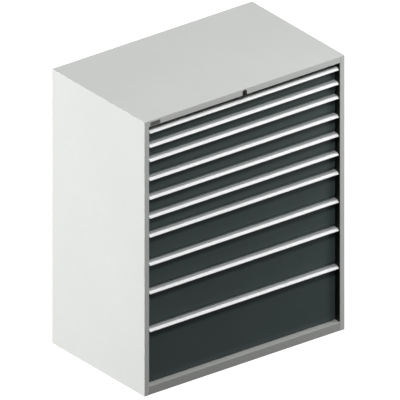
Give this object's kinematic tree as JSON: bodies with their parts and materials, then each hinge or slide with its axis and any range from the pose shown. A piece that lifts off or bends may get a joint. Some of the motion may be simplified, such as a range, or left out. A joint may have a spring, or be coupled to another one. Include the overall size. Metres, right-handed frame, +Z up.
{
  "type": "drawer cabinet",
  "caption": "Tall industrial drawer cabinet with full-width grip handles, full-extension drawers of rising height, a plinth and one central lock.",
  "frame": {"origin": "centre of the footprint on the floor, lock and rear screw heads included", "axes": "+Z up, the front faces -Y, X across the width"},
  "size_m": [1.193, 0.735, 1.45],
  "materials": {
    "housing_paint": "light grey powder coat, fine texture",
    "front_paint": "anthracite powder coat, fine texture",
    "tray_paint": "light grey powder coat",
    "handle_aluminium": "satin anodised profile with a white label strip under a clear cover",
    "slide_steel": "zinc plated strip with dark rollers",
    "zinc_steel": "zinc plated",
    "zinc_screws": "zinc plated",
    "lock_black": "satin black",
    "lock_plug": "black plated",
    "black_plastic": "moulded",
    "badge_dark": "blank, dark grey"
  },
  "bodies": {
    "root": {"side_panel_left": "housing_paint", "side_panel_right": "housing_paint", "rear_panel": "housing_paint", "rear_panel_screws": "zinc_screws", "top_panel": "housing_paint", "plinth_front": "housing_paint", "plinth_rear": "housing_paint", "floor_panel": "housing_paint", "head_rail": "housing_paint", "runner_uprights": "zinc_steel", "cabinet_runners_left": "zinc_steel", "cabinet_runners_right": "zinc_steel", "lock_bezel": "lock_black", "lock_nut": "zinc_steel", "lock_bar_guides": "black_plastic", "badge_plate": "badge_dark"},
    "drawer_01": {"drawer_01_tray": "tray_paint", "drawer_01_front": "front_paint", "drawer_01_handle": "handle_aluminium"},
    "slide_01": {"slide_01": "slide_steel"},
    "drawer_02": {"drawer_02_tray": "tray_paint", "drawer_02_front": "front_paint", "drawer_02_handle": "handle_aluminium"},
    "slide_02": {"slide_02": "slide_steel"},
    "drawer_03": {"drawer_03_tray": "tray_paint", "drawer_03_front": "front_paint", "drawer_03_handle": "handle_aluminium"},
    "slide_03": {"slide_03": "slide_steel"},
    "drawer_04": {"drawer_04_tray": "tray_paint", "drawer_04_front": "front_paint", "drawer_04_handle": "handle_aluminium"},
    "slide_04": {"slide_04": "slide_steel"},
    "drawer_05": {"drawer_05_tray": "tray_paint", "drawer_05_front": "front_paint", "drawer_05_handle": "handle_aluminium"},
    "slide_05": {"slide_05": "slide_steel"},
    "drawer_06": {"drawer_06_tray": "tray_paint", "drawer_06_front": "front_paint", "drawer_06_handle": "handle_aluminium"},
    "slide_06": {"slide_06": "slide_steel"},
    "drawer_07": {"drawer_07_tray": "tray_paint", "drawer_07_front": "front_paint", "drawer_07_handle": "handle_aluminium"},
    "slide_07": {"slide_07": "slide_steel"},
    "drawer_08": {"drawer_08_tray": "tray_paint", "drawer_08_front": "front_paint", "drawer_08_handle": "handle_aluminium"},
    "slide_08": {"slide_08": "slide_steel"},
    "drawer_09": {"drawer_09_tray": "tray_paint", "drawer_09_front": "front_paint", "drawer_09_handle": "handle_aluminium"},
    "slide_09": {"slide_09": "slide_steel"},
    "drawer_10": {"drawer_10_tray": "tray_paint", "drawer_10_front": "front_paint", "drawer_10_handle": "handle_aluminium"},
    "slide_10": {"slide_10": "slide_steel"},
    "lock_plug": {"lock_cylinder": "lock_plug", "lock_cam": "zinc_steel"},
    "cross_bar": {"lock_cross_bar": "zinc_steel"},
    "locking_bar": {"locking_bar": "zinc_steel"}
  },
  "joints": [
    {"name": "drawer_01_slide", "type": "slide", "parent": "root", "child": "drawer_01", "axis": [0, -1, 0], "range_m": [0, 0.64]},
    {"name": "carriage_01_slide", "type": "slide", "parent": "root", "child": "slide_01", "axis": [0, -1, 0], "range_m": [0, 0.321]},
    {"name": "drawer_02_slide", "type": "slide", "parent": "root", "child": "drawer_02", "axis": [0, -1, 0], "range_m": [0, 0.64]},
    {"name": "carriage_02_slide", "type": "slide", "parent": "root", "child": "slide_02", "axis": [0, -1, 0], "range_m": [0, 0.321]},
    {"name": "drawer_03_slide", "type": "slide", "parent": "root", "child": "drawer_03", "axis": [0, -1, 0], "range_m": [0, 0.64]},
    {"name": "carriage_03_slide", "type": "slide", "parent": "root", "child": "slide_03", "axis": [0, -1, 0], "range_m": [0, 0.321]},
    {"name": "drawer_04_slide", "type": "slide", "parent": "root", "child": "drawer_04", "axis": [0, -1, 0], "range_m": [0, 0.64]},
    {"name": "carriage_04_slide", "type": "slide", "parent": "root", "child": "slide_04", "axis": [0, -1, 0], "range_m": [0, 0.321]},
    {"name": "drawer_05_slide", "type": "slide", "parent": "root", "child": "drawer_05", "axis": [0, -1, 0], "range_m": [0, 0.64]},
    {"name": "carriage_05_slide", "type": "slide", "parent": "root", "child": "slide_05", "axis": [0, -1, 0], "range_m": [0, 0.321]},
    {"name": "drawer_06_slide", "type": "slide", "parent": "root", "child": "drawer_06", "axis": [0, -1, 0], "range_m": [0, 0.64]},
    {"name": "carriage_06_slide", "type": "slide", "parent": "root", "child": "slide_06", "axis": [0, -1, 0], "range_m": [0, 0.321]},
    {"name": "drawer_07_slide", "type": "slide", "parent": "root", "child": "drawer_07", "axis": [0, -1, 0], "range_m": [0, 0.64]},
    {"name": "carriage_07_slide", "type": "slide", "parent": "root", "child": "slide_07", "axis": [0, -1, 0], "range_m": [0, 0.321]},
    {"name": "drawer_08_slide", "type": "slide", "parent": "root", "child": "drawer_08", "axis": [0, -1, 0], "range_m": [0, 0.64]},
    {"name": "carriage_08_slide", "type": "slide", "parent": "root", "child": "slide_08", "axis": [0, -1, 0], "range_m": [0, 0.321]},
    {"name": "drawer_09_slide", "type": "slide", "parent": "root", "child": "drawer_09", "axis": [0, -1, 0], "range_m": [0, 0.64]},
    {"name": "carriage_09_slide", "type": "slide", "parent": "root", "child": "slide_09", "axis": [0, -1, 0], "range_m": [0, 0.321]},
    {"name": "drawer_10_slide", "type": "slide", "parent": "root", "child": "drawer_10", "axis": [0, -1, 0], "range_m": [0, 0.64]},
    {"name": "carriage_10_slide", "type": "slide", "parent": "root", "child": "slide_10", "axis": [0, -1, 0], "range_m": [0, 0.321]},
    {"name": "lock_turn", "type": "hinge", "parent": "root", "child": "lock_plug", "pos_m": [0, -0.3595, 1.4315], "axis": [0, 1, 0], "range_deg": [0, 90]},
    {"name": "cross_bar_slide", "type": "slide", "parent": "root", "child": "cross_bar", "axis": [-1, 0, 0], "range_m": [0, 0.014]},
    {"name": "locking_bar_lift", "type": "slide", "parent": "root", "child": "locking_bar", "axis": [0, 0, 1], "range_m": [0, 0.014]}
  ],
  "couplings": [
    {"joint": "carriage_01_slide", "follows": "drawer_01_slide", "ratio": 0.5},
    {"joint": "carriage_02_slide", "follows": "drawer_02_slide", "ratio": 0.5},
    {"joint": "carriage_03_slide", "follows": "drawer_03_slide", "ratio": 0.5},
    {"joint": "carriage_04_slide", "follows": "drawer_04_slide", "ratio": 0.5},
    {"joint": "carriage_05_slide", "follows": "drawer_05_slide", "ratio": 0.5},
    {"joint": "carriage_06_slide", "follows": "drawer_06_slide", "ratio": 0.5},
    {"joint": "carriage_07_slide", "follows": "drawer_07_slide", "ratio": 0.5},
    {"joint": "carriage_08_slide", "follows": "drawer_08_slide", "ratio": 0.5},
    {"joint": "carriage_09_slide", "follows": "drawer_09_slide", "ratio": 0.5},
    {"joint": "carriage_10_slide", "follows": "drawer_10_slide", "ratio": 0.5},
    {"joint": "lock_turn", "follows": "cross_bar_slide", "rad_per_m": 112.2},
    {"joint": "locking_bar_lift", "follows": "cross_bar_slide", "ratio": 1}
  ]
}
